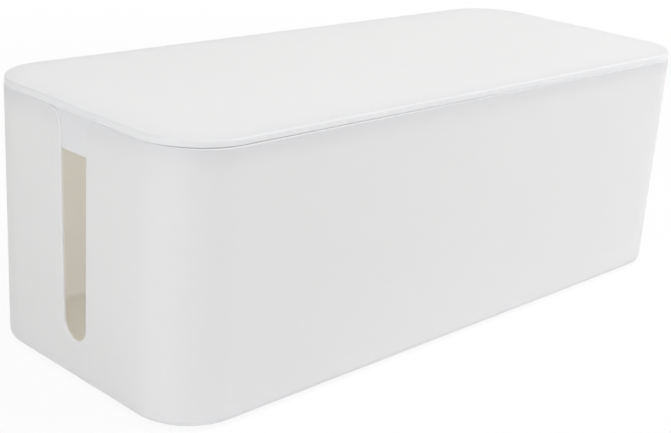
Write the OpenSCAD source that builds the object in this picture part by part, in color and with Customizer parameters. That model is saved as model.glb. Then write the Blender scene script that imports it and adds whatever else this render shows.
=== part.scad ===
// Cable management box: a drafted moulded bin with a flared cable notch in each end,
// a lift-off lid whose tongues close the tops of the notches, and four stick-on feet.
// Millimetres. The box stands on z = 0, centred on the Z axis, with its length along X.

/* [Box] */
// Outside length at the rim
box_l = 400; // [340:5:460]
// Outside width at the rim
box_w = 165; // [140:5:200]
// Height from the table to the top of the lid
box_h = 140; // [110:5:170]
// Plan radius of the upright corners at the rim
corner_r = 33; // [24:1:45]
// Thickness of the moulded walls
wall = 2; // [1.6:0.1:3]
// Thickness of the floor
floor_t = 2.4; // [2:0.1:4]
// Lean of every wall, in degrees, wider at the rim
draft = 0.6; // [0.2:0.1:1.5]
// Rounding under the outside of the base
base_r = 4; // [2:0.5:6]
// Fillet between the floor and the walls inside
floor_fillet = 3; // [1:0.5:5]
// Rounding on both edges of the rim
rim_r = 0.7; // [0.3:0.1:0.8]

/* [Lid] */
// Height of the visible band round the lid
band_h = 3.4; // [3:0.2:8]
// Rounding round the top of the lid
lid_r = 1.8; // [1:0.2:2.4]
// How far the band stands back from the bin's rim
band_set_back = 0.3; // [0.2:0.1:0.4]
// Thickness of the lid's plate
lid_t = 2.2; // [1.8:0.1:3]
// Height of the shadow gap between lid and bin
gap_h = 0.7; // [0.4:0.1:1.5]
// Depth of the shadow gap, from the bin's wall
gap_d = 0.9; // [0.7:0.1:1.2]
// How far the locating lip reaches down inside the bin
lip_h = 7; // [4:0.5:10]
// Thickness of the locating lip
lip_t = 1.5; // [1:0.1:2]
// Play between the lip and the bin's walls
lip_play = 0.4; // [0.3:0.1:0.8]

/* [Cable notches] */
// Width of the notch below the flare, at the rim's height
notch_w = 21.4; // [18:0.2:30]
// Width of the notch at the centre of its round foot
notch_foot_w = 18.6; // [14:0.2:26]
// Height of the notch's lowest point above the table
notch_z = 22; // [16:1:40]
// Radius that flares the notch into the rim
flare_r = 9; // [6:0.5:14]
// How far the lid's tongue hangs below the rim
tongue_drop = 19.7; // [15.2:0.5:30]
// Clear gap between the tongue and the notch
tongue_gap = 0.35; // [0.3:0.05:1]
// Rounding on the tongue's lower corners
tongue_r = 2.5; // [1:0.5:5]
// How far the tongue's face stands back from the bin's rim
tongue_set_back = 0.6; // [0.5:0.05:0.7]

/* [Feet] */
// Diameter of a foot
foot_d = 15; // [10:1:20]
// How far the feet hold the base off the table
foot_stand = 1.5; // [1:0.1:3]
// Depth of the recess that locates a foot
recess_depth = 0.8; // [0.5:0.1:1]
// Clear gap between a foot and the side of its recess
recess_gap = 0.5; // [0.3:0.1:1]
// Thickness of the adhesive disc between foot and base
adhesive_t = 0.2; // [0.1:0.05:0.3]
// Rounding on the foot's lower edge
foot_r = 0.8; // [0.2:0.1:1]

/* [Hidden] */
arc_steps = 8;
cut = 1;
base_z = foot_stand;
floor_z = base_z + floor_t;
band_z = box_h - band_h;
rim_z = band_z - gap_h;
// Axes of the four upright corners
axis_x = box_l / 2 - corner_r;
axis_y = box_w / 2 - corner_r;
// Feet sit inside the corners' axes
foot_x = axis_x - 6;
foot_y = axis_y + 8;
// Gate mark left by the moulding tool under the floor
gate_d = 7;
gate_depth = 0.5;
white = [0.94, 0.94, 0.935];
warm_white = [0.95, 0.95, 0.945];
rubber_grey = [0.25, 0.25, 0.26];
adhesive_white = [0.85, 0.84, 0.8];

// Points along an arc about [x, y], from one angle to another
function arc(x, y, r, from, to) =
    [for (i = [0:arc_steps]) let (a = from + (to - from) * i / arc_steps)
        [x + r * cos(a), y + r * sin(a)]];

// Distance of the bin's outer and inner faces from a corner's axis, at height z
function outer_x(z) = corner_r - (rim_z - z) * tan(draft);
function inner_x(z) = outer_x(z) - wall / cos(draft);

// Half width of the notch at height z, below its flare
function notch_half_w(z) =
    let (foot_z = notch_z + notch_foot_w / 2)
    notch_foot_w / 2 + (notch_w - notch_foot_w) / 2 * (z - foot_z) / (rim_z - foot_z);

// Carries a profile round the plan of the box. The profile's x runs out from a corner's axis.
module around_plan() {
    for (turn = [0, 180]) rotate([0, 0, turn]) {
        translate([axis_x, axis_y, 0]) rotate_extrude(angle = 90) children();
        translate([axis_x, axis_y, 0]) rotate([90, 0, 0])
            linear_extrude(height = 2 * axis_y) children();
        translate([axis_x, -axis_y, 0]) rotate([0, 0, -90]) rotate_extrude(angle = 90) children();
        rotate([0, 0, 90]) translate([axis_y, axis_x, 0]) rotate([90, 0, 0])
            linear_extrude(height = 2 * axis_x) children();
    }
}

// Section of the bin from a corner's axis out through floor, wall and rim
module bin_section() {
    base_arc_z = base_z + base_r;
    rim_arc_z = rim_z - rim_r;
    fillet_z = floor_z + floor_fillet;
    polygon(concat(
        [[0, base_z]],
        arc(outer_x(base_arc_z) - base_r / cos(draft), base_arc_z, base_r, -90, -draft),
        arc(outer_x(rim_arc_z) - rim_r / cos(draft), rim_arc_z, rim_r, -draft, 90),
        arc(inner_x(rim_arc_z) + rim_r / cos(draft), rim_arc_z, rim_r, 90, 180 - draft),
        arc(inner_x(fillet_z) - floor_fillet / cos(draft), fillet_z, floor_fillet, -draft, -90),
        [[0, floor_z]]
    ));
}

// Section of the lid from a corner's axis out through plate, lip, seat, shadow gap and band
module lid_section() {
    lip_x = corner_r - wall - lip_play;
    band_x = corner_r - band_set_back;
    under_z = box_h - lid_t;
    root_r = 1;
    tip_r = lip_t / 3;
    edge_r = 0.3;
    polygon(concat(
        [[0, box_h], [0, under_z]],
        arc(lip_x - lip_t - root_r, under_z - root_r, root_r, 90, 0),
        arc(lip_x - lip_t + tip_r, rim_z - lip_h + tip_r, tip_r, 180, 270),
        arc(lip_x - tip_r, rim_z - lip_h + tip_r, tip_r, -90, 0),
        [[lip_x, rim_z], [corner_r - gap_d, rim_z], [corner_r - gap_d, band_z]],
        arc(band_x - edge_r, band_z + edge_r, edge_r, -90, 0),
        arc(band_x - lid_r, box_h - lid_r, lid_r, 0, 90)
    ));
}

// Cable notch seen along the box: round foot, slightly spreading sides, flared top
module notch_shape() {
    foot_half = notch_foot_w / 2;
    flare_z = rim_z - flare_r;
    half = notch_half_w(flare_z);
    polygon(concat(
        arc(0, notch_z + foot_half, foot_half, -180, 0),
        arc(half + flare_r, flare_z, flare_r, 180, 90),
        [[half + flare_r, rim_z + cut], [-half - flare_r, rim_z + cut]],
        arc(-half - flare_r, flare_z, flare_r, 90, 0)
    ));
}

// The tongue's outline: the top of the notch drawn in by the gap, with a rounded lower edge
module tongue_shape() {
    low_z = rim_z - tongue_drop;
    half = notch_half_w(low_z) - tongue_gap;
    flare_z = rim_z - flare_r;
    flare_half = notch_half_w(flare_z) + flare_r;
    inset_r = flare_r + tongue_gap;
    polygon(concat(
        arc(-half + tongue_r, low_z + tongue_r, tongue_r, 180, 270),
        arc(half - tongue_r, low_z + tongue_r, tongue_r, -90, 0),
        arc(flare_half, flare_z, inset_r, 180, 90),
        [[flare_half, band_z + cut], [-flare_half, band_z + cut]],
        arc(-flare_half, flare_z, inset_r, 90, 0)
    ));
}

// Stands a shape drawn in width and height across the end of the box, from x_in out to x_out
module across_ends(x_in, x_out) {
    for (turn = [0, 180]) rotate([0, 0, turn])
        translate([x_in, 0, 0]) rotate([90, 0, 90])
            linear_extrude(height = x_out - x_in) children();
}

// Bin: floor and drafted walls in one moulding, open on top, notched at both ends
module bin() {
    color(white) difference() {
        union() {
            around_plan() bin_section();
            translate([-axis_x, -axis_y, base_z]) cube([2 * axis_x, 2 * axis_y, floor_t]);
        }
        across_ends(box_l / 2 - 3 * wall, box_l / 2 + cut) notch_shape();
        for (side_x = [-1, 1], side_y = [-1, 1])
            translate([side_x * foot_x, side_y * foot_y, base_z - cut])
                cylinder(h = recess_depth + cut, d = foot_d + 2 * recess_gap, $fn = 64);
        translate([0, 0, base_z - cut]) cylinder(h = gate_depth + cut, d = gate_d, $fn = 48);
    }
}

// Lid: flat plate, rounded band, locating lip, and a tongue that drops into each notch
module lid() {
    color(warm_white) union() {
        around_plan() lid_section();
        translate([-axis_x, -axis_y, box_h - lid_t]) cube([2 * axis_x, 2 * axis_y, lid_t]);
        across_ends(box_l / 2 - wall - lip_play, box_l / 2 - tongue_set_back) tongue_shape();
    }
}

// Foot: a rubber disc with a rounded lower edge, seated in its recess
module foot(side_x, side_y) {
    top_z = base_z + recess_depth - adhesive_t;
    color(rubber_grey) translate([side_x * foot_x, side_y * foot_y, 0]) rotate_extrude($fn = 64)
        polygon(concat(
            [[0, 0]],
            arc(foot_d / 2 - foot_r, foot_r, foot_r, -90, 0),
            [[foot_d / 2, top_z], [0, top_z]]
        ));
}

// Adhesive disc between a foot and the roof of its recess
module adhesive(side_x, side_y) {
    color(adhesive_white)
        translate([side_x * foot_x, side_y * foot_y, base_z + recess_depth - adhesive_t])
            cylinder(h = adhesive_t, d = foot_d - 1, $fn = 64);
}

bin();
lid();
foot(-1, -1);  // foot_front_left
foot(1, -1);  // foot_front_right
foot(-1, 1);  // foot_back_left
foot(1, 1);  // foot_back_right
adhesive(-1, -1);  // adhesive_front_left
adhesive(1, -1);  // adhesive_front_right
adhesive(-1, 1);  // adhesive_back_left
adhesive(1, 1);  // adhesive_back_right
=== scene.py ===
"""Cable management box: its moulded shells, lid, feet, finishes, studio and camera.

Sizes of the box's pieces are millimetres, as a moulder's drawing gives them. Sizes in the
finishes and the studio are metres. Meshes are made in metres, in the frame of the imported
solids: X along the box, the seen long wall towards -Y, Z up, and the table at z = 0.
"""

import logging
import math
from dataclasses import dataclass, field
from enum import Enum

import bmesh
import bpy
from bmesh.types import BMesh
from bpy.types import Material, Mesh, Node, NodeSocket, NodeTree, Object, World
from mathutils import Matrix, Vector
from mathutils.geometry import tessellate_polygon


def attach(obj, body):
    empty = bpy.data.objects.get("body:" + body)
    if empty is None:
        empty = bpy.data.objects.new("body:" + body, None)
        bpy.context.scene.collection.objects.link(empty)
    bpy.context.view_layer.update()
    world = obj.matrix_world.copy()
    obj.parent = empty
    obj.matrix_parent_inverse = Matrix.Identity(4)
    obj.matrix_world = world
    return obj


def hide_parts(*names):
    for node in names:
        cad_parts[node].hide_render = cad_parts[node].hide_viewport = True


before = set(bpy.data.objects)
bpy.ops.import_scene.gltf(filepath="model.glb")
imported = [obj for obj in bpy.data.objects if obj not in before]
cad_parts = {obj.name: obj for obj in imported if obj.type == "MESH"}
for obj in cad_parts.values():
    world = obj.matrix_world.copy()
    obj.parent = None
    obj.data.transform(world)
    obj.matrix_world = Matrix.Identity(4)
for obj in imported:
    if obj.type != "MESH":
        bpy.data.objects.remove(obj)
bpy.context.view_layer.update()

LOG = logging.getLogger("cable_box")
MM = 0.001
SAME_PLACE = 1e-6  # metres; nearer points of a sweep are one
WELD = 0.004 * MM  # joins the strips of a moulding along their edges
WHITE = (1.0, 1.0, 1.0, 1.0)
END_SIDES = (1, -1)  # the +X end, then the -X end

Pair = tuple[float, float]
Point = tuple[float, float, float]
Colour = tuple[float, float, float]
Tones = tuple[Colour, Colour]
Section = list[Pair]


class Ray(Enum):
    """Kinds of ray that see the studio's white background."""

    CAMERA = "Is Camera Ray"
    GLOSSY = "Is Glossy Ray"
    TRANSMISSION = "Is Transmission Ray"


class Place(Enum):
    """The four places under the base that carry a foot: name, side along X, side along Y."""

    FRONT_LEFT = ("front_left", -1, -1)
    FRONT_RIGHT = ("front_right", 1, -1)
    BACK_LEFT = ("back_left", -1, 1)
    BACK_RIGHT = ("back_right", 1, 1)

    @property
    def label(self) -> str:
        """Last words in the names of the pieces here."""
        return self.value[0]

    def at(self, x: float, y: float) -> Pair:
        """The place itself, at distances x and y from the box's two centre planes."""
        return self.value[1] * x, self.value[2] * y


class BinFace(Enum):
    """Parts of the bin's surface, each with its finish's slot."""

    OUTSIDE = 0
    WALL_INSIDE = 1
    FLOOR_INSIDE = 2


class LidFace(Enum):
    """Parts of the lid's surface, each with its finish's slot."""

    TOP = 0
    UNDER = 1
    EDGE = 2


def arc(x: float, y: float, radius: float, start: float, end: float, steps: int) -> Section:
    """Points along an arc.

    Args:
        x: Centre, across.
        y: Centre, up.
        radius: Radius of the arc.
        start: First angle in degrees.
        end: Last angle in degrees.
        steps: Number of equal steps.

    Returns:
        steps + 1 points, both ends among them.
    """
    points = []
    for index in range(steps + 1):
        angle = math.radians(start + (end - start) * index / steps)
        points.append((x + radius * math.cos(angle), y + radius * math.sin(angle)))
    return points


class Graph:
    """A node tree with short calls for adding, setting and joining its nodes."""

    def __init__(self, tree: NodeTree) -> None:
        """Takes the tree that the calls add to."""
        self.tree = tree

    @classmethod
    def emptied(cls, owner: Material | World) -> "Graph":
        """Switches on the nodes of a material or world, and clears them.

        Args:
            owner: What the tree belongs to.

        Returns:
            The empty graph.
        """
        owner.use_nodes = True
        owner.node_tree.nodes.clear()
        return cls(owner.node_tree)

    def add(self, kind: str, inputs: dict | None = None, **settings: object) -> Node:
        """Adds a node.

        Args:
            kind: Blender's type name of the node.
            inputs: Socket name or number to a plain value, or to an output that feeds it.
            settings: The node's own properties.

        Returns:
            The new node.
        """
        node = self.tree.nodes.new(kind)
        for name, value in settings.items():
            setattr(node, name, value)
        for key, value in (inputs or {}).items():
            if isinstance(value, NodeSocket):
                self.tree.links.new(value, node.inputs[key])
            else:
                node.inputs[key].default_value = value
        return node

    def math(self, operation: str, first: object, second: object = 0.0) -> NodeSocket:
        """Adds a Math node and returns its result."""
        return self.add("ShaderNodeMath", {0: first, 1: second}, operation=operation).outputs[0]

    def divided(self, number: object, by: object) -> tuple[NodeSocket, NodeSocket]:
        """Divides one whole number by another.

        Args:
            number: What is divided.
            by: What it is divided by.

        Returns:
            How often it goes in whole, and the rest. The half that is added first keeps
            rounding from losing a whole one.
        """
        whole = self.math("FLOOR", self.math("DIVIDE", self.math("ADD", number, 0.5), by))
        return whole, self.math("SUBTRACT", number, self.math("MULTIPLY", whole, by))

    def place(self) -> NodeSocket:
        """Adds the piece's own coordinates."""
        return self.add("ShaderNodeTexCoord").outputs["Object"]

    def noise(self, pattern: Pair) -> NodeSocket:
        """Adds a noise, its pattern given as scale and detail, and returns its strength."""
        inputs = {"Vector": self.place(), "Scale": pattern[0], "Detail": pattern[1]}
        return self.add("ShaderNodeTexNoise", inputs).outputs["Fac"]

    def spread(self, value: NodeSocket, before: Pair, after: Pair = (0.0, 1.0)) -> NodeSocket:
        """Adds a node that carries a value from one range to another.

        Args:
            value: The value.
            before: Range that it comes from; outside it, the nearer end counts.
            after: Range that it is carried to.

        Returns:
            The value in the new range.
        """
        inputs = {"Value": value, "From Min": before[0], "From Max": before[1]}
        node = self.add("ShaderNodeMapRange", {**inputs, "To Min": after[0], "To Max": after[1]})
        return node.outputs["Result"]

    def blend(self, share: NodeSocket, first: Colour, second: Colour) -> NodeSocket:
        """Adds a mix of two colours.

        The Mix node has one pair of inputs for each kind of data, all with the same names,
        so the ones for colours are taken by number.

        Args:
            share: Share of the second colour.
            first: The colour at share 0.
            second: The colour at share 1.

        Returns:
            The mixed colour.
        """
        inputs = {0: share, 6: (*first, 1.0), 7: (*second, 1.0)}
        return self.add("ShaderNodeMix", inputs, data_type="RGBA").outputs[2]

    def bump(self, height: NodeSocket, relief: Pair, below: NodeSocket | None = None) -> NodeSocket:
        """Adds a relief.

        Args:
            height: The relief's height.
            relief: Its strength and distance.
            below: Normal of a coarser relief that this one lies on.

        Returns:
            The normal of the surface with its relief.
        """
        inputs = {"Strength": relief[0], "Distance": relief[1], "Height": height}
        if below is not None:
            inputs["Normal"] = below
        return self.add("ShaderNodeBump", inputs).outputs["Normal"]

    def is_seen(self) -> NodeSocket:
        """Tells the rays that see the white background from those that only bring light.

        Returns:
            1 for every kind in Ray, else 0.
        """
        path = self.add("ShaderNodeLightPath").outputs
        first, *others = Ray
        seen = path[first.value]
        for ray in others:
            seen = self.math("MAXIMUM", seen, path[ray.value])
        return seen

    def mix_shaders(self, share: object, first: Node, second: Node) -> NodeSocket:
        """Adds a mix of two shaders by the second one's share."""
        inputs = {0: share, 1: first.outputs[0], 2: second.outputs[0]}
        return self.add("ShaderNodeMixShader", inputs).outputs[0]


@dataclass(frozen=True)
class BoxForm:
    """Sizes that the box's mouldings share, and the rules that tie them together."""

    length: float = 400.0
    width: float = 165.0
    height: float = 140.0
    corner: float = 33.0
    corner_steps: int = 24
    wall: float = 2.0
    floor: float = 2.4
    draft: float = math.radians(0.6)
    foot_stand: float = 1.5
    foot_x: float = 161.0
    foot_y: float = 57.5
    recess_depth: float = 0.8
    band: float = 3.4
    band_back: float = 0.3
    gap: float = 0.3
    gap_depth: float = 0.9
    notch_top_width: float = 21.4
    notch_foot_width: float = 18.6
    notch_low: float = 22.0
    flare: float = 9.0

    @property
    def rim_z(self) -> float:
        """Height of the bin's rim."""
        return self.height - self.band - self.gap

    @property
    def band_z(self) -> float:
        """Height of the lower edge of the lid's band."""
        return self.height - self.band

    @property
    def floor_z(self) -> float:
        """Height of the floor inside."""
        return self.foot_stand + self.floor

    @property
    def recess_z(self) -> float:
        """Height of the roof of a foot's recess."""
        return self.foot_stand + self.recess_depth

    @property
    def axis_x(self) -> float:
        """Distance of an upright corner's axis from the middle, along the box."""
        return self.length / 2 - self.corner

    @property
    def axis_y(self) -> float:
        """Distance of an upright corner's axis from the middle, across the box."""
        return self.width / 2 - self.corner

    @property
    def plan(self) -> dict[str, object]:
        """The rounded plan, as values for the sweep's named inputs."""
        runs = {"Half Run X": self.axis_x * MM, "Half Run Y": self.axis_y * MM}
        return {**runs, "Corner Steps": self.corner_steps}

    def reach(self, x: float, y: float) -> float:
        """Distance of a place from the rounded rectangle's core, which the corners' axes span."""
        return math.hypot(max(abs(x) - self.axis_x, 0.0), max(abs(y) - self.axis_y, 0.0))

    def outer(self, z: float) -> float:
        """Distance of the wall's outer face from a corner's axis at height z."""
        return self.corner - (self.rim_z - z) * math.tan(self.draft)

    def inner(self, z: float) -> float:
        """Distance of the wall's inner face from a corner's axis at height z."""
        return self.outer(z) - self.wall / math.cos(self.draft)

    def notch_half(self, z: float) -> float:
        """Half width of the notch.

        Args:
            z: Height, between the notch's round foot and its flare.

        Returns:
            Half the width there, which grows evenly with the height.
        """
        foot_z = self.notch_low + self.notch_foot_width / 2
        share = (z - foot_z) / (self.rim_z - foot_z)
        spread = (self.notch_top_width - self.notch_foot_width) / 2
        return self.notch_foot_width / 2 + spread * share


@dataclass
class Shell:
    """Points and faces of a mesh in the making, in millimetres."""

    points: list[Point] = field(default_factory=list)
    faces: list[tuple[int, ...]] = field(default_factory=list)

    def add(self, points: list[Point]) -> list[int]:
        """Adds points and returns their numbers, which the faces use."""
        self.points.extend(points)
        return list(range(len(self.points) - len(points), len(self.points)))

    def sheet(self, points: list[Point]) -> "Shell":
        """Adds one face over new points, and returns the shell."""
        self.faces.append(tuple(self.add(points)))
        return self

    def bridge(self, lower: list[int], upper: list[int], closed: bool = False) -> None:
        """Joins two rows of points by a strip of quads.

        Args:
            lower: Numbers of the first row's points.
            upper: Numbers of the second row's points, as many.
            closed: True where the rows are rings.
        """
        count = len(lower)
        for index in range(count if closed else count - 1):
            after = (index + 1) % count
            self.faces.append((lower[index], lower[after], upper[after], upper[index]))

    def bridge_all(self, rows: list[list[int]], closed: bool = False) -> None:
        """Joins each row of points to the next one."""
        for lower, upper in zip(rows, rows[1:]):
            self.bridge(lower, upper, closed)

    def into(self, bm: BMesh) -> None:
        """Adds the gathered points and faces to a mesh.

        Args:
            bm: The mesh, in metres.
        """
        verts = [bm.verts.new(Vector(point) * MM) for point in self.points]
        for corners in self.faces:
            bm.faces.new([verts[corner] for corner in corners])


def area_weighted_normals(mesh: Mesh) -> None:
    """Shades a mesh smooth, each point's normal led by its largest faces, so flats stay flat.

    Args:
        mesh: The finished mesh.
    """
    totals = [Vector() for _ in mesh.vertices]
    for polygon in mesh.polygons:
        polygon.use_smooth = True
        for corner in polygon.vertices:
            totals[corner] += polygon.normal * polygon.area
    mesh.normals_split_custom_set_from_vertices([total.normalized() for total in totals])


def object_from(bm: BMesh, name: str, materials: list[Material]) -> Object:
    """Turns a bmesh into an object at the origin.

    Args:
        bm: The mesh; it is freed.
        name: Name of the object and its mesh.
        materials: Materials for its slots.

    Returns:
        The linked object, with settled normals, and outward faces where it is closed.
    """
    bmesh.ops.remove_doubles(bm, verts=bm.verts[:], dist=WELD)
    bmesh.ops.recalc_face_normals(bm, faces=bm.faces[:])
    mesh = bpy.data.meshes.new(name)
    bm.to_mesh(mesh)
    bm.free()
    for material in materials:
        mesh.materials.append(material)
    area_weighted_normals(mesh)
    made = bpy.data.objects.new(name, mesh)
    bpy.context.scene.collection.objects.link(made)
    return made


class PlanSweep:
    """Geometry Nodes that carry a section round a rounded rectangle, or round an axis.

    The section lies in the XZ plane of the object's own mesh, its x measured out from a
    corner's axis. With both half runs at zero the same tree turns a round piece.
    """

    def __init__(self) -> None:
        """Builds the node tree."""
        tree = bpy.data.node_groups.new("sweep_round_plan", "GeometryNodeTree")
        tree.is_modifier = True
        kinds = {
            "Section": "Geometry",
            "Half Run X": "Float",
            "Half Run Y": "Float",
            "Centre": "Vector",
            "Corner Steps": "Int",
            "Finish": "Material",
        }
        socket = tree.interface.new_socket
        for name, kind in kinds.items():
            socket(name=name, in_out="INPUT", socket_type=f"NodeSocket{kind}")
        socket(name="Moulding", in_out="OUTPUT", socket_type="NodeSocketGeometry")
        self.tree = tree
        self._wire(Graph(tree))

    def _wire(self, graph: Graph) -> None:
        """Adds the nodes: a grid of columns round the plan by points of the section.

        Args:
            graph: The tree's graph.
        """
        given = graph.add("NodeGroupInput").outputs
        section, steps = given["Section"], given["Corner Steps"]
        size = graph.add("GeometryNodeAttributeDomainSize", {0: section}, component="MESH")
        rows = size.outputs["Point Count"]
        per_corner = graph.math("ADD", steps, 1.0)
        loop = graph.math("MULTIPLY", per_corner, 4.0)
        columns = graph.math("ADD", loop, 1.0)
        grid = graph.add("GeometryNodeMeshGrid", {"Vertices X": columns, "Vertices Y": rows})

        index = graph.add("GeometryNodeInputIndex").outputs[0]
        column, row = graph.divided(index, rows)
        _, column = graph.divided(column, loop)
        quarter, step = graph.divided(column, per_corner)
        turned = graph.math("ADD", quarter, graph.math("DIVIDE", step, steps))
        angle = graph.math("MULTIPLY", turned, math.pi / 2)
        middle = graph.math("MULTIPLY", graph.math("ADD", quarter, 0.5), math.pi / 2)

        place = graph.add("GeometryNodeInputPosition").outputs[0]
        asked = {"Geometry": section, "Value": place, "Index": row}
        sample = graph.add("GeometryNodeSampleIndex", asked, data_type="FLOAT_VECTOR")
        drawn = graph.add("ShaderNodeSeparateXYZ", {0: sample.outputs[0]}).outputs
        ends = []
        for wave, run in (("COSINE", given["Half Run X"]), ("SINE", given["Half Run Y"])):
            side = graph.math("SIGN", graph.math(wave, middle))
            out = graph.math("MULTIPLY", graph.math(wave, angle), drawn["X"])
            ends.append(graph.math("ADD", graph.math("MULTIPLY", side, run), out))
        at = graph.add("ShaderNodeCombineXYZ", {"X": ends[0], "Y": ends[1], "Z": drawn["Z"]})
        parts = {0: at.outputs[0], 1: given["Centre"]}
        moved = graph.add("ShaderNodeVectorMath", parts, operation="ADD").outputs[0]

        placed = {"Geometry": grid.outputs["Mesh"], "Position": moved}
        swept = graph.add("GeometryNodeSetPosition", placed).outputs[0]
        joined = {"Geometry": swept, "Distance": SAME_PLACE}
        merged = graph.add("GeometryNodeMergeByDistance", joined).outputs[0]
        real = graph.add("GeometryNodeRealizeInstances", {"Geometry": merged}).outputs[0]
        dressing = {"Geometry": real, "Material": given["Finish"]}
        dressed = graph.add("GeometryNodeSetMaterial", dressing).outputs[0]
        graph.add("NodeGroupOutput", {"Moulding": dressed})

    def run(self, section: Section, plan: dict[str, object], finish: Material) -> BMesh:
        """Sweeps a section.

        Args:
            section: Points (out from the axis, height).
            plan: Values for the tree's named inputs, sizes in metres.
            finish: Material of the swept faces.

        Returns:
            The swept faces as a bmesh, open where the section is open.
        """
        mesh = bpy.data.meshes.new("section")
        points = [(x * MM, 0.0, z * MM) for x, z in section]
        mesh.from_pydata(points, [(i, i + 1) for i in range(len(points) - 1)], [])
        carrier = bpy.data.objects.new("section", mesh)
        bpy.context.scene.collection.objects.link(carrier)
        modifier = carrier.modifiers.new("sweep", "NODES")
        modifier.node_group = self.tree
        names = {item.name: item.identifier for item in self.tree.interface.items_tree}
        for name, value in {**plan, "Finish": finish}.items():
            modifier[names[name]] = value
        depsgraph = bpy.context.evaluated_depsgraph_get()
        evaluated = carrier.evaluated_get(depsgraph)
        swept = bpy.data.meshes.new_from_object(evaluated, depsgraph=depsgraph)
        bm = bmesh.new()
        bm.from_mesh(swept)
        carrier.modifiers.clear()
        bpy.data.objects.remove(carrier)
        bpy.data.meshes.remove(swept)
        bpy.data.meshes.remove(mesh)
        return bm


class Finish:
    """A material whose surface is drawn in the piece's own coordinates."""

    name: str

    def surface(self, graph: Graph) -> NodeSocket:
        """Adds the surface's nodes and returns its shader; each finish has its own."""
        raise NotImplementedError

    def build(self) -> Material:
        """Builds the material.

        Returns:
            The material.
        """
        material = bpy.data.materials.new(self.name)
        graph = Graph.emptied(material)
        graph.add("ShaderNodeOutputMaterial", {"Surface": self.surface(graph)})
        return material


@dataclass(frozen=True)
class SatinPlastic(Finish):
    """White polypropylene from a polished mould with a fine satin texture.

    Each noise is a scale and a detail, and each relief a strength and a distance.
    """

    name: str
    tones: Tones
    through: float = 0.3
    through_tint: Colour = (0.965, 0.965, 0.965)
    drift: Pair = (7.0, 3.0)
    sheen: Pair = (34.0, 4.0)
    sheen_range: Pair = (0.3, 0.7)
    roughness: Pair = (0.4, 0.48)
    wave: Pair = (11.0, 1.0)
    wave_relief: Pair = (0.25, 0.0004)
    grain: Pair = (2600.0, 2.0)
    grain_relief: Pair = (0.05, 0.00004)
    ior: float = 1.49
    specular: float = 0.35

    def surface(self, graph: Graph) -> NodeSocket:
        """Tone drift, satin grain over slow waviness, uneven sheen, and light from behind.

        Args:
            graph: The material's graph.

        Returns:
            The shader.
        """
        sheen = graph.noise(self.sheen)
        slow = graph.bump(graph.noise(self.wave), self.wave_relief)
        look = {
            "Base Color": graph.blend(graph.noise(self.drift), *self.tones),
            "Roughness": graph.spread(sheen, self.sheen_range, self.roughness),
            "IOR": self.ior,
            "Specular IOR Level": self.specular,
            "Normal": graph.bump(graph.noise(self.grain), self.grain_relief, slow),
        }
        face = graph.add("ShaderNodeBsdfPrincipled", look)
        tint = {"Color": (*self.through_tint, 1.0), "Normal": slow}
        glow = graph.add("ShaderNodeBsdfTranslucent", tint)
        return graph.mix_shaders(self.through, face, glow)


@dataclass(frozen=True)
class Rubber(Finish):
    """Dark grey rubber of the stick-on feet."""

    name: str = "foot_rubber"
    clean: Colour = (0.036, 0.036, 0.038)
    dusty: Colour = (0.075, 0.073, 0.07)
    dust: Pair = (420.0, 5.0)
    dust_range: Pair = (0.5, 0.75)
    grain: Pair = (3200.0, 3.0)
    grain_relief: Pair = (0.3, 0.0001)
    roughness: float = 0.72

    def surface(self, graph: Graph) -> NodeSocket:
        """Dull rubber with fine grain and dust on it.

        Args:
            graph: The material's graph.

        Returns:
            The shader.
        """
        dust = graph.spread(graph.noise(self.dust), self.dust_range)
        look = {
            "Base Color": graph.blend(dust, self.clean, self.dusty),
            "Roughness": self.roughness,
            "Normal": graph.bump(graph.noise(self.grain), self.grain_relief),
        }
        return graph.add("ShaderNodeBsdfPrincipled", look).outputs[0]


@dataclass(frozen=True)
class Adhesive(Finish):
    """Milky acrylic of the discs that hold the feet."""

    name: str = "foot_adhesive"
    milky: Colour = (0.72, 0.7, 0.64)
    bubbled: Colour = (0.82, 0.81, 0.77)
    bubble_scale: float = 700.0
    bubble_range: Pair = (0.15, 0.4)
    roughness: float = 0.3
    ior: float = 1.47

    def surface(self, graph: Graph) -> NodeSocket:
        """Cloudy, slightly glossy acrylic with small trapped bubbles.

        Args:
            graph: The material's graph.

        Returns:
            The shader.
        """
        pattern = {"Vector": graph.place(), "Scale": self.bubble_scale}
        cells = graph.add("ShaderNodeTexVoronoi", pattern).outputs["Distance"]
        clear = graph.spread(cells, self.bubble_range)
        look = {
            "Base Color": graph.blend(clear, self.bubbled, self.milky),
            "Roughness": self.roughness,
            "IOR": self.ior,
        }
        return graph.add("ShaderNodeBsdfPrincipled", look).outputs[0]


@dataclass(frozen=True)
class FloorPaper(Finish):
    """White paper under the box, the whiter the further away it lies."""

    name: str = "floor_paper"
    colour: Colour = (0.92, 0.92, 0.92)
    white_near: float = 0.9
    white_range: Pair = (0.45, 1.0)
    fibres: Pair = (500.0, 3.0)
    fibre_relief: Pair = (0.05, 0.0002)
    roughness: float = 0.9

    def surface(self, graph: Graph) -> NodeSocket:
        """Paper that keeps a faint shadow near the box and is plain white far from it.

        Args:
            graph: The material's graph.

        Returns:
            The shader.
        """
        away = graph.add("ShaderNodeVectorMath", {0: graph.place()}, operation="LENGTH")
        share = graph.spread(away.outputs["Value"], self.white_range, (self.white_near, 1.0))
        look = {
            "Base Color": (*self.colour, 1.0),
            "Roughness": self.roughness,
            "Normal": graph.bump(graph.noise(self.fibres), self.fibre_relief),
        }
        paper = graph.add("ShaderNodeBsdfPrincipled", look)
        white = graph.add("ShaderNodeEmission", {"Color": WHITE, "Strength": 1.0})
        return graph.mix_shaders(graph.math("MULTIPLY", graph.is_seen(), share), paper, white)


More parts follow.
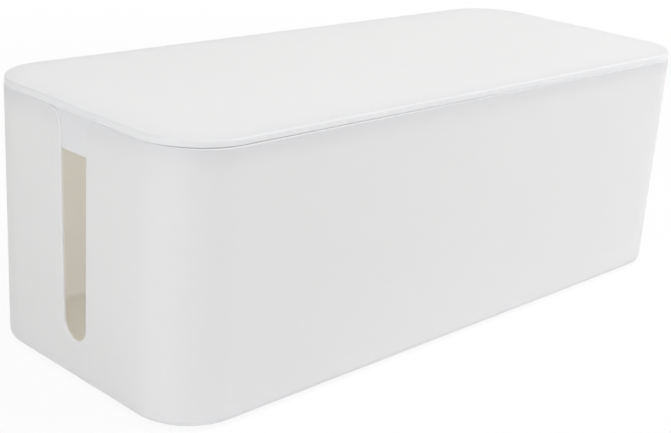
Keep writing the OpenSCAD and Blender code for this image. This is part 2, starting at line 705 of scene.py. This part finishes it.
@dataclass
class Bin:
    """The bin: floor and drafted walls in one moulding, with a flared notch in each end."""

    form: BoxForm
    sweep: PlanSweep
    outside: Material
    # inside: its warmer base colour is painted warm light
    inside: Material
    # The inside floor's material: its brighter base colour is painted light
    floor_painted_light: Material
    base_round: float = 4.0
    base_steps: int = 14
    fillet: float = 3.0
    fillet_steps: int = 10
    rim_round: float = 0.7
    rim_steps: int = 7
    flare_steps: int = 22
    notch_foot_steps: int = 26
    recess_radius: float = 8.0
    recess_edge: float = 0.25
    recess_edge_steps: int = 3
    ring_steps: int = 48
    gate_radius: float = 3.5
    gate_depth: float = 0.5
    skin_share: float = 0.6
    floor_share: float = 0.6
    floor_slack: float = 0.1

    def rim_section(self) -> Section:
        """Draws the section over the rim.

        Returns:
            Points from the wall's outer face to its inner face.
        """
        form, tilt, steps = self.form, math.degrees(self.form.draft), self.rim_steps
        low = form.rim_z - self.rim_round
        shift = self.rim_round / math.cos(form.draft)
        outer = arc(form.outer(low) - shift, low, self.rim_round, -tilt, 90, steps)
        inner = arc(form.inner(low) + shift, low, self.rim_round, 90, 180 - tilt, steps)
        return outer + inner

    def section(self) -> Section:
        """Draws the whole section.

        Returns:
            Points from under the base up the wall, over the rim and down to the floor.
        """
        form, tilt = self.form, math.degrees(self.form.draft)
        base_z = form.foot_stand + self.base_round
        base_x = form.outer(base_z) - self.base_round / math.cos(form.draft)
        fillet_z = form.floor_z + self.fillet
        fillet_x = form.inner(fillet_z) - self.fillet / math.cos(form.draft)
        base = arc(base_x, base_z, self.base_round, -90, -tilt, self.base_steps)
        fillet = arc(fillet_x, fillet_z, self.fillet, -tilt, -90, self.fillet_steps)
        return base + self.rim_section() + fillet

    def notch_path(self) -> list[tuple[float, float, float, float]]:
        """Draws the rim's line across an end: flat, flare, side, round foot, and back up.

        Returns:
            (y, z, y into the wall, z into the wall) for each point, from -Y to +Y.
        """
        form = self.form
        flare_z = form.rim_z - form.flare
        flare_y = form.notch_half(flare_z) + form.flare
        foot = form.notch_foot_width / 2
        foot_z = form.notch_low + foot
        right = [(flare_y, form.rim_z, 0.0, -1.0)]
        for y, z in arc(flare_y, flare_z, form.flare, 90, 180, self.flare_steps)[1:]:
            right.append((y, z, (flare_y - y) / form.flare, (flare_z - z) / form.flare))
        for y, z in arc(0, foot_z, foot, 0, -90, self.notch_foot_steps):
            right.append((y, z, y / foot, (z - foot_z) / foot))
        left = [(-y, z, -in_y, in_z) for y, z, in_y, in_z in right]
        return left + right[:-1][::-1]

    def end_wall(self, side: int) -> Shell:
        """Makes one end's flat wall, open at the notch, with the rounded rim led round it.

        Args:
            side: 1 for the +X end, -1 for the -X end.

        Returns:
            The outer face, the inner face and the rounded strip between them.
        """
        form, shell = self.form, Shell()
        edge = form.axis_y
        flat_rim = (form.rim_z, 0.0, -1.0)
        path = [(-edge, *flat_rim), *self.notch_path(), (edge, *flat_rim)]
        rows = []
        for x, z in self.rim_section():
            inset, depth = form.rim_z - z, form.outer(z) - x
            row = []
            for y, up, in_y, in_z in path:
                at_y, at_z = y + in_y * inset, up + in_z * inset
                at_x = form.axis_x + form.outer(at_z) - depth
                row.append((side * at_x, side * at_y, at_z))
            rows.append(shell.add(row))
        shell.bridge_all(rows)
        section = self.section()
        feet = []
        for x, z in (section[self.base_steps], section[-self.fillet_steps - 1]):
            at_x = side * (form.axis_x + x)
            feet.append(shell.add([(at_x, -side * edge, z), (at_x, side * edge, z)]))
        outer_foot, inner_foot = feet
        shell.faces.append((*outer_foot, *reversed(rows[0])))
        shell.faces.append((*reversed(inner_foot), *rows[-1]))
        return shell

    def underside(self, rim: Section) -> Shell:
        """Makes the flat under the base with its four foot recesses and the gate mark.

        Args:
            rim: The plan loop, in order, where the base's rounding ends.

        Returns:
            The flat face with its holes, and each hole's wall and roof.
        """
        form, shell, z = self.form, Shell(), self.form.foot_stand
        holes = []
        for place in Place:
            x, y = place.at(form.foot_x, form.foot_y)
            holes.append((x, y, self.recess_radius, form.recess_depth))
        holes.append((0.0, 0.0, self.gate_radius, self.gate_depth))
        loops = [shell.add([(x, y, z) for x, y in rim])]
        for x, y, radius, depth in holes:
            edge = self.recess_edge
            lip = arc(radius + edge, z + edge, edge, -90, -180, self.recess_edge_steps)
            rows = []
            for reach, height in [*lip, (radius, z + depth)]:
                ring = arc(x, y, reach, 0, 360, self.ring_steps)[:-1]
                rows.append(shell.add([(at_x, at_y, height) for at_x, at_y in ring]))
            shell.bridge_all(rows, closed=True)
            shell.faces.append(tuple(rows[-1]))
            loops.append(rows[0])
        flat = [[Vector(shell.points[corner]) for corner in loop] for loop in loops]
        order = [corner for loop in loops for corner in loop]
        for triangle in tessellate_polygon(flat):
            shell.faces.append(tuple(order[corner] for corner in triangle))
        return shell

    def plan_loop(self, reach: float) -> Section:
        """Draws the rounded plan with the sweep's own steps.

        Args:
            reach: Distance from the corners' axes.

        Returns:
            The plan's points, anticlockwise from the +X end.
        """
        form, loop = self.form, []
        for quarter, (side_x, side_y) in enumerate(((1, 1), (-1, 1), (-1, -1), (1, -1))):
            start = 90 * quarter
            axis = (side_x * form.axis_x, side_y * form.axis_y)
            loop += arc(*axis, reach, start, start + 90, form.corner_steps)
        return loop

    def build(self) -> Object:
        """Builds the bin: swept walls, with both flat ends, the underside and the floor put in.

        Returns:
            The bin, in the place of its solid.
        """
        section = self.section()
        bm = self.sweep.run(section, self.form.plan, self.outside)
        fillet_top = (self.form.floor_z + self.fillet) * MM
        ends = []
        for face in bm.faces:
            middle = face.calc_center_median()
            if abs(middle.y) < SAME_PLACE and middle.z > fillet_top:
                ends.append(face)
        bmesh.ops.delete(bm, geom=ends, context="FACES")
        for side in END_SIDES:
            self.end_wall(side).into(bm)
        self.underside(self.plan_loop(section[0][0])).into(bm)
        floor_rim = self.plan_loop(section[-1][0])
        Shell().sheet([(x, y, self.form.floor_z) for x, y in floor_rim]).into(bm)
        made = object_from(bm, "bin_shell", [self.outside, self.inside, self.floor_painted_light])
        for polygon in made.data.polygons:
            polygon.material_index = self.face_at(polygon.center / MM).value
        return made

    def face_at(self, point: Vector) -> BinFace:
        """Tells which part of the surface a face belongs to.

        Args:
            point: The face's middle.

        Returns:
            The part, and with it the slot of its finish.
        """
        form = self.form
        skin = form.outer(point.z) - self.skin_share * form.wall
        if form.reach(point.x, point.y) > skin or point.z < form.floor_z - self.floor_slack:
            return BinFace.OUTSIDE
        if point.z < form.floor_z + self.floor_share * self.fillet:
            return BinFace.FLOOR_INSIDE
        return BinFace.WALL_INSIDE


@dataclass
class Lid:
    """The lid: plate, bullnose band, locating lip, and a tongue that drops into each notch."""

    form: BoxForm
    sweep: PlanSweep
    finish: Material
    under: Material
    # The band's, lip's and tongues' material: its darker base colour is painted shade
    edge_painted_shade_finish: Material
    thickness: float = 2.2
    top_round: float = 1.0
    top_steps: int = 14
    top_share: float = 0.6
    band_edge: float = 0.15
    band_steps: int = 5
    lip_height: float = 7.0
    lip_thickness: float = 1.5
    lip_play: float = 0.4
    lip_steps: int = 4
    root_round: float = 1.0
    root_steps: int = 5
    tongue_drop: float = 19.2
    tongue_gap: float = 0.08
    tongue_round: float = 1.0
    tongue_steps: int = 8
    tongue_set_back: float = 1.0
    tongue_root: float = 1.0
    tongue_overlap: float = 0.05
    tongue_edge: float = 0.12
    tongue_edge_steps: int = 6
    flare_steps: int = 18
    twist_gap: Pair = (0.02, 0.5)
    twist_share: Pair = (0.6, 0.95)
    twist_slack: float = 0.01

    @property
    def lip_x(self) -> float:
        """Distance of the lip's outer face from a corner's axis."""
        return self.form.corner - self.form.wall - self.lip_play

    def section(self) -> Section:
        """Draws the section, except the tongues.

        Returns:
            Points from the top plate over the band, the seat and the lip to the plate's
            underside.
        """
        form, edge, lip_x = self.form, self.band_edge, self.lip_x
        tip = self.lip_thickness / 3
        low = form.rim_z - self.lip_height + tip
        under = form.height - self.thickness
        seat_x = form.corner - form.gap_depth
        band_x = form.corner - form.band_back
        top_x, top_z = band_x - self.top_round, form.height - self.top_round
        top = arc(top_x, top_z, self.top_round, 90, 0, self.top_steps)
        band = arc(band_x - edge, form.band_z + edge, edge, 0, -90, self.band_steps)
        seat = [(seat_x, form.band_z), (seat_x, form.rim_z), (lip_x, form.rim_z)]
        back_x = lip_x - self.lip_thickness
        outer_tip = arc(lip_x - tip, low, tip, 0, -90, self.lip_steps)
        inner_tip = arc(back_x + tip, low, tip, -90, -180, self.lip_steps)
        root_x, root_z = back_x - self.root_round, under - self.root_round
        root = arc(root_x, root_z, self.root_round, 0, 90, self.root_steps)
        return top + band + seat + outer_tip + inner_tip + root

    def tongue_outline(self, inset: float) -> Section:
        """Draws the tongue's outline, which follows the notch's flare.

        Args:
            inset: How far the outline is drawn in.

        Returns:
            Points (y, z) from the lower left corner, anticlockwise.
        """
        form, radius = self.form, self.tongue_round
        low = form.rim_z - self.tongue_drop
        half = form.notch_half(low) - self.tongue_gap
        flare_z = form.rim_z - form.flare
        centre = form.notch_half(flare_z) + form.flare
        reach = form.flare + self.tongue_gap + inset
        top = form.band_z + self.tongue_root
        points = arc(-half + radius, low + radius, radius - inset, 180, 270, self.tongue_steps)
        points += arc(half - radius, low + radius, radius - inset, -90, 0, self.tongue_steps)
        points += arc(centre, flare_z, reach, 180, 90, self.flare_steps)
        points += [(centre, top), (-centre, top)]
        points += arc(-centre, flare_z, reach, 90, 0, self.flare_steps)
        return points

    def tongue(self, side: int) -> Shell:
        """Makes one tongue, with rounded edges and its root inside the band.

        Args:
            side: 1 for the +X end, -1 for the -X end.

        Returns:
            The closed plate, its back a little way into the lip.
        """
        form, shell, edge = self.form, Shell(), self.tongue_edge
        back = form.wall + self.lip_play + self.tongue_overlap
        rounds = arc(edge, edge, edge, -90, -180, self.tongue_edge_steps)
        layers = [(inset, self.tongue_set_back + depth) for inset, depth in rounds]
        layers += [(inset, back - depth) for inset, depth in reversed(rounds)]
        rows = []
        for inset, depth in layers:
            row = []
            for y, z in self.tongue_outline(inset):
                x = form.axis_x + form.outer(min(z, form.rim_z)) - depth
                row.append((side * x, side * y, z))
            rows.append(shell.add(row))
        shell.bridge_all(rows, closed=True)
        shell.faces.append(tuple(rows[0]))
        shell.faces.append(tuple(reversed(rows[-1])))
        return shell

    def gap_at(self, x: float, y: float) -> float:
        """Works out the shadow gap, as the cooled plate's slight twist leaves it.

        Args:
            x: Place along the box.
            y: Place across the box.

        Returns:
            The gap's height there: wide at the front left and back right corners, and
            tight everywhere else.
        """
        share = 4 * x * y / (self.form.length * self.form.width)
        low, high = self.twist_share
        rise = min(max((share - low) / (high - low), 0.0), 1.0)
        tight, wide = self.twist_gap
        return tight + (wide - tight) * rise * rise * (3 - 2 * rise)

    def twist(self, bm: BMesh) -> None:
        """Moves the band's lower edge to the shadow gap's height all round.

        Args:
            bm: The lid without its tongues.
        """
        form, slack = self.form, self.twist_slack
        low, high = form.band_z - slack, form.band_z + self.band_edge + slack
        seat_x = form.corner - form.gap_depth - slack
        for vert in bm.verts:
            x, y, z = vert.co / MM
            if low < z < high and form.reach(x, y) > seat_x:
                vert.co.z += (self.gap_at(x, y) - form.gap) * MM

    def build(self) -> Object:
        """Builds the lid: swept plate, band and lip, closed in the middle, and the tongues.

        Returns:
            The lid, in the place of its solid.
        """
        bm = self.sweep.run(self.section(), self.form.plan, self.finish)
        open_edges = [edge for edge in bm.edges if edge.is_boundary]
        bmesh.ops.holes_fill(bm, edges=open_edges, sides=0)
        self.twist(bm)
        for side in END_SIDES:
            self.tongue(side).into(bm)
        made = object_from(bm, "lid_shell", [self.finish, self.under, self.edge_painted_shade_finish])
        for polygon in made.data.polygons:
            polygon.material_index = self.face_at(polygon.center / MM).value
        return made

    def face_at(self, point: Vector) -> LidFace:
        """Tells which part of the surface a face belongs to.

        Args:
            point: The face's middle.

        Returns:
            The part, and with it the slot of its finish.
        """
        if point.z > self.form.height - self.top_share * self.top_round:
            return LidFace.TOP
        lip_middle = self.lip_x - self.lip_thickness / 2
        return LidFace.UNDER if self.form.reach(point.x, point.y) < lip_middle else LidFace.EDGE


@dataclass
class Foot:
    """A stick-on foot: a rubber disc in its recess, held by an adhesive disc."""

    place: Place
    form: BoxForm
    sweep: PlanSweep
    rubber: Material
    adhesive: Material
    radius: float = 7.5
    edge: float = 0.8
    edge_steps: int = 6
    crown_edge: float = 0.15
    crown_steps: int = 2
    disc_radius: float = 7.0
    disc_thickness: float = 0.2
    disc_steps: int = 4
    quarter_steps: int = 12
    dish: tuple[Pair, ...] = ((0.0, 0.25), (3.4, 0.25), (3.9, 0.1375), (4.3, 0.03), (4.7, 0.0))

    @property
    def top(self) -> float:
        """Height of the rubber's top, against the adhesive disc."""
        return self.form.recess_z - self.disc_thickness

    def _turn(self, name: str, section: Section, finish: Material) -> Object:
        """Turns a section into a round piece at this foot's place.

        Args:
            name: First words of the piece's name.
            section: Points (out from the axis, height), from the axis back to it.
            finish: The piece's material.

        Returns:
            The piece, in the place of its solid.
        """
        x, y = self.place.at(self.form.foot_x, self.form.foot_y)
        round_plan = {"Half Run X": 0.0, "Half Run Y": 0.0, "Corner Steps": self.quarter_steps}
        plan = {**round_plan, "Centre": (x * MM, y * MM, 0.0)}
        bm = self.sweep.run(section, plan, finish)
        return object_from(bm, f"{name}_{self.place.label}", [finish])

    def build_rubber(self) -> Object:
        """Builds the rubber disc.

        Returns:
            A rounded tread with a shallow dish in its sole.
        """
        edge, crown_edge = self.edge, self.crown_edge
        tread = arc(self.radius - edge, edge, edge, -90, 0, self.edge_steps)
        crown_x, crown_z = self.radius - crown_edge, self.top - crown_edge
        crown = arc(crown_x, crown_z, crown_edge, 0, 90, self.crown_steps)
        section = [*self.dish, *tread, *crown, (0.0, self.top)]
        return self._turn("foot_rubber", section, self.rubber)

    def build_adhesive(self) -> Object:
        """Builds the adhesive disc.

        Returns:
            A disc that is pressed out a little round its edge.
        """
        roof, half = self.form.recess_z, self.disc_thickness / 2
        side = arc(self.disc_radius - half, self.top + half, half, -90, 90, self.disc_steps)
        section = [(0.0, self.top), *side, (0.0, roof)]
        return self._turn("foot_adhesive", section, self.adhesive)


@dataclass(frozen=True)
class Softbox:
    """A rectangular studio lamp; mirrored says whether a gloss shows it."""

    name: str
    place: Point
    aim: Point
    size: Pair
    power: float
    mirrored: bool = True

    def build(self) -> None:
        """Hangs the lamp, aimed at its mark, out of the camera's sight."""
        data = bpy.data.lights.new(self.name, "AREA")
        data.shape = "RECTANGLE"
        data.size, data.size_y = self.size
        data.energy = self.power
        lamp = bpy.data.objects.new(self.name, data)
        lamp.visible_camera = False
        lamp.visible_glossy = self.mirrored
        lamp.location = self.place
        sight = Vector(self.aim) - Vector(self.place)
        lamp.rotation_euler = sight.to_track_quat("-Z", "Y").to_euler()
        bpy.context.scene.collection.objects.link(lamp)


@dataclass
class Studio:
    """A plain pale floor, soft light at a plain level, and the camera."""

    ambient: float = 0.18
    floor_half: float = 4.0
    paper: FloorPaper = field(default_factory=FloorPaper)
    softboxes: tuple[Softbox, ...] = (
        Softbox("softbox_left", (-1.4, -0.45, 0.45), (0.0, 0.0, 0.07), (0.3, 0.9), 6.7),
        Softbox("softbox_right", (1.2, -0.55, 0.4), (0.1, 0.0, 0.07), (0.6, 0.7), 4.6, False),
        Softbox("softbox_high", (0.6, -0.6, 1.2), (0.0, 0.0, 0.1), (0.8, 0.8), 10.0, False),
        Softbox("softbox_near", (-0.45, -0.25, 1.4), (-0.1, -0.1, 0.14), (0.5, 0.5), 5.5),
        Softbox("softbox_back", (0.7, 1.6, 0.4), (0.0, 0.0, 0.07), (1.6, 0.7), 13.5, False),
    )
    eye: Point = (-0.53115, -0.49631, 0.29921)
    azimuth: float = -47.104
    elevation: float = 17.638
    roll: float = 4.142
    lens: float = 70.6
    sensor: float = 36.0
    shift: Pair = (-0.0514, -0.0544)
    clip: Pair = (0.02, 40.0)

    def build_world(self) -> None:
        """Builds the world: even light all round, and white for the rays that see it."""
        world = bpy.data.worlds.new("studio")
        graph = Graph.emptied(world)
        light = graph.add("ShaderNodeBackground", {"Color": WHITE, "Strength": self.ambient})
        white = graph.add("ShaderNodeBackground", {"Color": WHITE, "Strength": 1.0})
        mixed = graph.mix_shaders(graph.is_seen(), light, white)
        graph.add("ShaderNodeOutputWorld", {"Surface": mixed})
        bpy.context.scene.world = world

    def build_floor(self) -> None:
        """Builds the floor, one flat face under the box."""
        half = self.floor_half / MM
        corners = [(-half, -half, 0.0), (half, -half, 0.0), (half, half, 0.0), (-half, half, 0.0)]
        bm = bmesh.new()
        Shell().sheet(corners).into(bm)
        floor = object_from(bm, "studio_floor", [self.paper.build()])
        if floor.data.polygons[0].normal.z < 0:
            floor.data.flip_normals()

    def build_camera(self) -> None:
        """Builds the camera at its fitted place, turned by azimuth, elevation and roll."""
        data = bpy.data.cameras.new("camera")
        data.sensor_width = self.sensor
        data.lens = self.lens
        data.shift_x, data.shift_y = self.shift
        data.clip_start, data.clip_end = self.clip
        camera = bpy.data.objects.new("camera", data)
        around, above = math.radians(self.azimuth), math.radians(self.elevation)
        level = math.cos(above)
        back = Vector((math.sin(around) * level, -math.cos(around) * level, math.sin(above)))
        right = Vector((0, 0, 1)).cross(back).normalized()
        up = back.cross(right)
        lean = math.radians(self.roll)
        rolled_right = right * math.cos(lean) + up * math.sin(lean)
        rolled_up = up * math.cos(lean) - right * math.sin(lean)
        turned = Matrix((rolled_right, rolled_up, back)).transposed().to_4x4()
        camera.matrix_world = Matrix.Translation(self.eye) @ turned
        bpy.context.scene.collection.objects.link(camera)
        bpy.context.scene.camera = camera

    def build(self) -> None:
        """Builds the floor, the world, the lamps and the camera."""
        bpy.context.scene.view_settings.view_transform = "Standard"
        self.build_world()
        self.build_floor()
        for softbox in self.softboxes:
            softbox.build()
        self.build_camera()


@dataclass
class CableBox:
    """The whole box: bin, lid and four feet, each in the place of its solids."""

    form: BoxForm = field(default_factory=BoxForm)
    sweep: PlanSweep = field(default_factory=PlanSweep)
    bin_white: Tones = ((0.923, 0.932, 0.966), (0.913, 0.922, 0.956))
    lid_white: Tones = ((0.92, 0.932, 0.968), (0.91, 0.922, 0.958))
    # Inside tones: the same white plastic, painted warmer and brighter as painted warm light from
    # the glowing walls
    inside_painted_warm_light: Tones = ((0.96, 0.945, 0.9), (0.95, 0.935, 0.89))
    # Floor tones: the same white plastic, painted brighter and warmer still, as painted light on
    # the inside floor
    floor_inside_painted_light: Tones = ((0.975, 0.96, 0.915), (0.965, 0.95, 0.905))
    # Edge tones: the same white plastic, painted darker as painted shade on the lid's band, lip and
    # tongues
    edge_painted_shade_tones: Tones = ((0.875, 0.878, 0.89), (0.867, 0.87, 0.882))
    warm_light: Colour = (0.98, 0.95, 0.87)
    wall_through: float = 0.44
    plate_through: float = 0.6
    edge_through: float = 0.08

    def _place(self, piece: Object, body: str, node: str) -> None:
        """Hands a piece to the frame, and reports it.

        Args:
            piece: The piece.
            body: The body that it rides on.
            node: The solid that it replaces.
        """
        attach(piece, body)
        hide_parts(node)
        faces = len(piece.data.polygons)
        LOG.info("%s rides on %s for %s: %d faces", piece.name, body, node, faces)

    def _inner(self, name: str, through: float) -> Material:
        """Builds a finish of the inside, which warm light comes through; its warmer, brighter base
        colour is painted warm light as well.
        """
        return SatinPlastic(name, self.inside_painted_warm_light, through, self.warm_light).build()

    def build_bin(self) -> None:
        """Builds the bin with its finishes."""
        outside = SatinPlastic("bin_plastic", self.bin_white).build()
        # The inside's base colour is painted warm light, and real light also comes through it
        inside = self._inner("bin_plastic_inside_painted_warm", self.wall_through)
        # The inside floor's base colour is painted light
        floor = SatinPlastic("bin_plastic_floor_painted_light", self.floor_inside_painted_light, through=0.0).build()
        made = Bin(self.form, self.sweep, outside, inside, floor).build()
        self._place(made, "bin_body", "bin")

    def build_lid(self) -> None:
        """Builds the lid with its finishes."""
        top = SatinPlastic("lid_plastic", self.lid_white).build()
        under = self._inner("lid_plastic_under_painted_warm", self.plate_through)
        # The lid's band, lip and tongues get a darker base colour, which is painted shade
        edge = SatinPlastic("lid_plastic_edge_painted_shade", self.edge_painted_shade_tones, through=self.edge_through).build()
        made = Lid(self.form, self.sweep, top, under, edge).build()
        self._place(made, "lid_body", "lid")

    def build_feet(self) -> None:
        """Builds the four feet and the discs that hold them."""
        rubber, adhesive = Rubber().build(), Adhesive().build()
        for place in Place:
            foot = Foot(place, self.form, self.sweep, rubber, adhesive)
            name = place.label
            self._place(foot.build_rubber(), "bin_body", f"foot_{name}")
            self._place(foot.build_adhesive(), "bin_body", f"adhesive_{name}")

    def build(self) -> None:
        """Builds every piece in order, from the bin up."""
        self.build_bin()
        self.build_lid()
        self.build_feet()


def main() -> None:
    """Builds the box and its studio."""
    logging.basicConfig(level=logging.INFO, format="%(name)s: %(message)s")
    CableBox().build()
    Studio().build()


if __name__ == "__main__":
    main()
